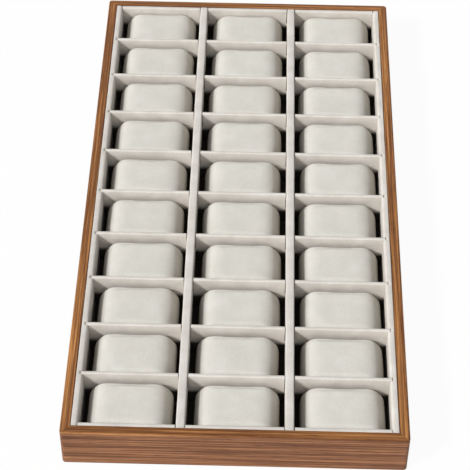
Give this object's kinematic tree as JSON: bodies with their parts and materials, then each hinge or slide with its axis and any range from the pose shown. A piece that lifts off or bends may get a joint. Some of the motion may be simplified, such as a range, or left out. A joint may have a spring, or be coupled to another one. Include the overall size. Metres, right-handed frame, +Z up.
{
  "type": "watch and bracelet display tray",
  "caption": "Open wooden display tray with a velvet lined grid of cells, each holding a loose cushion that a watch or bracelet goes around.",
  "frame": {"origin": "middle of the underside", "axes": "+X to the right of the front, +Y from the front to the back along the length, +Z up"},
  "size_m": [0.27, 0.522, 0.0386],
  "materials": {
    "veneered_wood": "satin wood grain film over board",
    "velvet_board": "short pile velvet over board",
    "cushion_velvet": "short pile velvet over foam",
    "dark_lining": "flocked card",
    "base_board": "raw fibreboard",
    "felt": "matt felt"
  },
  "bodies": {
    "tray": {"front_rail": "veneered_wood", "back_rail": "veneered_wood", "left_rail": "veneered_wood", "right_rail": "veneered_wood", "base_board": "base_board", "base_felt": "felt", "floor_lining": "dark_lining", "front_liner": "velvet_board", "back_liner": "velvet_board", "left_liner": "velvet_board", "right_liner": "velvet_board", "long_divider_left": "velvet_board", "long_divider_right": "velvet_board", "cross_divider_01": "velvet_board", "cross_divider_02": "velvet_board", "cross_divider_03": "velvet_board", "cross_divider_04": "velvet_board", "cross_divider_05": "velvet_board", "cross_divider_06": "velvet_board", "cross_divider_07": "velvet_board", "cross_divider_08": "velvet_board", "cross_divider_09": "velvet_board"},
    "pillow_row01_left": {"pillow_row01_left": "cushion_velvet"},
    "pillow_row01_middle": {"pillow_row01_middle": "cushion_velvet"},
    "pillow_row01_right": {"pillow_row01_right": "cushion_velvet"},
    "pillow_row02_left": {"pillow_row02_left": "cushion_velvet"},
    "pillow_row02_middle": {"pillow_row02_middle": "cushion_velvet"},
    "pillow_row02_right": {"pillow_row02_right": "cushion_velvet"},
    "pillow_row03_left": {"pillow_row03_left": "cushion_velvet"},
    "pillow_row03_middle": {"pillow_row03_middle": "cushion_velvet"},
    "pillow_row03_right": {"pillow_row03_right": "cushion_velvet"},
    "pillow_row04_left": {"pillow_row04_left": "cushion_velvet"},
    "pillow_row04_middle": {"pillow_row04_middle": "cushion_velvet"},
    "pillow_row04_right": {"pillow_row04_right": "cushion_velvet"},
    "pillow_row05_left": {"pillow_row05_left": "cushion_velvet"},
    "pillow_row05_middle": {"pillow_row05_middle": "cushion_velvet"},
    "pillow_row05_right": {"pillow_row05_right": "cushion_velvet"},
    "pillow_row06_left": {"pillow_row06_left": "cushion_velvet"},
    "pillow_row06_middle": {"pillow_row06_middle": "cushion_velvet"},
    "pillow_row06_right": {"pillow_row06_right": "cushion_velvet"},
    "pillow_row07_left": {"pillow_row07_left": "cushion_velvet"},
    "pillow_row07_middle": {"pillow_row07_middle": "cushion_velvet"},
    "pillow_row07_right": {"pillow_row07_right": "cushion_velvet"},
    "pillow_row08_left": {"pillow_row08_left": "cushion_velvet"},
    "pillow_row08_middle": {"pillow_row08_middle": "cushion_velvet"},
    "pillow_row08_right": {"pillow_row08_right": "cushion_velvet"},
    "pillow_row09_left": {"pillow_row09_left": "cushion_velvet"},
    "pillow_row09_middle": {"pillow_row09_middle": "cushion_velvet"},
    "pillow_row09_right": {"pillow_row09_right": "cushion_velvet"},
    "pillow_row10_left": {"pillow_row10_left": "cushion_velvet"},
    "pillow_row10_middle": {"pillow_row10_middle": "cushion_velvet"},
    "pillow_row10_right": {"pillow_row10_right": "cushion_velvet"}
  },
  "joints": [
    {"name": "lift_row01_left", "type": "slide", "parent": "tray", "child": "pillow_row01_left", "axis": [0, 0, 1], "range_m": [0, 0.045]},
    {"name": "lift_row01_middle", "type": "slide", "parent": "tray", "child": "pillow_row01_middle", "axis": [0, 0, 1], "range_m": [0, 0.045]},
    {"name": "lift_row01_right", "type": "slide", "parent": "tray", "child": "pillow_row01_right", "axis": [0, 0, 1], "range_m": [0, 0.045]},
    {"name": "lift_row02_left", "type": "slide", "parent": "tray", "child": "pillow_row02_left", "axis": [0, 0, 1], "range_m": [0, 0.045]},
    {"name": "lift_row02_middle", "type": "slide", "parent": "tray", "child": "pillow_row02_middle", "axis": [0, 0, 1], "range_m": [0, 0.045]},
    {"name": "lift_row02_right", "type": "slide", "parent": "tray", "child": "pillow_row02_right", "axis": [0, 0, 1], "range_m": [0, 0.045]},
    {"name": "lift_row03_left", "type": "slide", "parent": "tray", "child": "pillow_row03_left", "axis": [0, 0, 1], "range_m": [0, 0.045]},
    {"name": "lift_row03_middle", "type": "slide", "parent": "tray", "child": "pillow_row03_middle", "axis": [0, 0, 1], "range_m": [0, 0.045]},
    {"name": "lift_row03_right", "type": "slide", "parent": "tray", "child": "pillow_row03_right", "axis": [0, 0, 1], "range_m": [0, 0.045]},
    {"name": "lift_row04_left", "type": "slide", "parent": "tray", "child": "pillow_row04_left", "axis": [0, 0, 1], "range_m": [0, 0.045]},
    {"name": "lift_row04_middle", "type": "slide", "parent": "tray", "child": "pillow_row04_middle", "axis": [0, 0, 1], "range_m": [0, 0.045]},
    {"name": "lift_row04_right", "type": "slide", "parent": "tray", "child": "pillow_row04_right", "axis": [0, 0, 1], "range_m": [0, 0.045]},
    {"name": "lift_row05_left", "type": "slide", "parent": "tray", "child": "pillow_row05_left", "axis": [0, 0, 1], "range_m": [0, 0.045]},
    {"name": "lift_row05_middle", "type": "slide", "parent": "tray", "child": "pillow_row05_middle", "axis": [0, 0, 1], "range_m": [0, 0.045]},
    {"name": "lift_row05_right", "type": "slide", "parent": "tray", "child": "pillow_row05_right", "axis": [0, 0, 1], "range_m": [0, 0.045]},
    {"name": "lift_row06_left", "type": "slide", "parent": "tray", "child": "pillow_row06_left", "axis": [0, 0, 1], "range_m": [0, 0.045]},
    {"name": "lift_row06_middle", "type": "slide", "parent": "tray", "child": "pillow_row06_middle", "axis": [0, 0, 1], "range_m": [0, 0.045]},
    {"name": "lift_row06_right", "type": "slide", "parent": "tray", "child": "pillow_row06_right", "axis": [0, 0, 1], "range_m": [0, 0.045]},
    {"name": "lift_row07_left", "type": "slide", "parent": "tray", "child": "pillow_row07_left", "axis": [0, 0, 1], "range_m": [0, 0.045]},
    {"name": "lift_row07_middle", "type": "slide", "parent": "tray", "child": "pillow_row07_middle", "axis": [0, 0, 1], "range_m": [0, 0.045]},
    {"name": "lift_row07_right", "type": "slide", "parent": "tray", "child": "pillow_row07_right", "axis": [0, 0, 1], "range_m": [0, 0.045]},
    {"name": "lift_row08_left", "type": "slide", "parent": "tray", "child": "pillow_row08_left", "axis": [0, 0, 1], "range_m": [0, 0.045]},
    {"name": "lift_row08_middle", "type": "slide", "parent": "tray", "child": "pillow_row08_middle", "axis": [0, 0, 1], "range_m": [0, 0.045]},
    {"name": "lift_row08_right", "type": "slide", "parent": "tray", "child": "pillow_row08_right", "axis": [0, 0, 1], "range_m": [0, 0.045]},
    {"name": "lift_row09_left", "type": "slide", "parent": "tray", "child": "pillow_row09_left", "axis": [0, 0, 1], "range_m": [0, 0.045]},
    {"name": "lift_row09_middle", "type": "slide", "parent": "tray", "child": "pillow_row09_middle", "axis": [0, 0, 1], "range_m": [0, 0.045]},
    {"name": "lift_row09_right", "type": "slide", "parent": "tray", "child": "pillow_row09_right", "axis": [0, 0, 1], "range_m": [0, 0.045]},
    {"name": "lift_row10_left", "type": "slide", "parent": "tray", "child": "pillow_row10_left", "axis": [0, 0, 1], "range_m": [0, 0.045]},
    {"name": "lift_row10_middle", "type": "slide", "parent": "tray", "child": "pillow_row10_middle", "axis": [0, 0, 1], "range_m": [0, 0.045]},
    {"name": "lift_row10_right", "type": "slide", "parent": "tray", "child": "pillow_row10_right", "axis": [0, 0, 1], "range_m": [0, 0.045]}
  ]
}
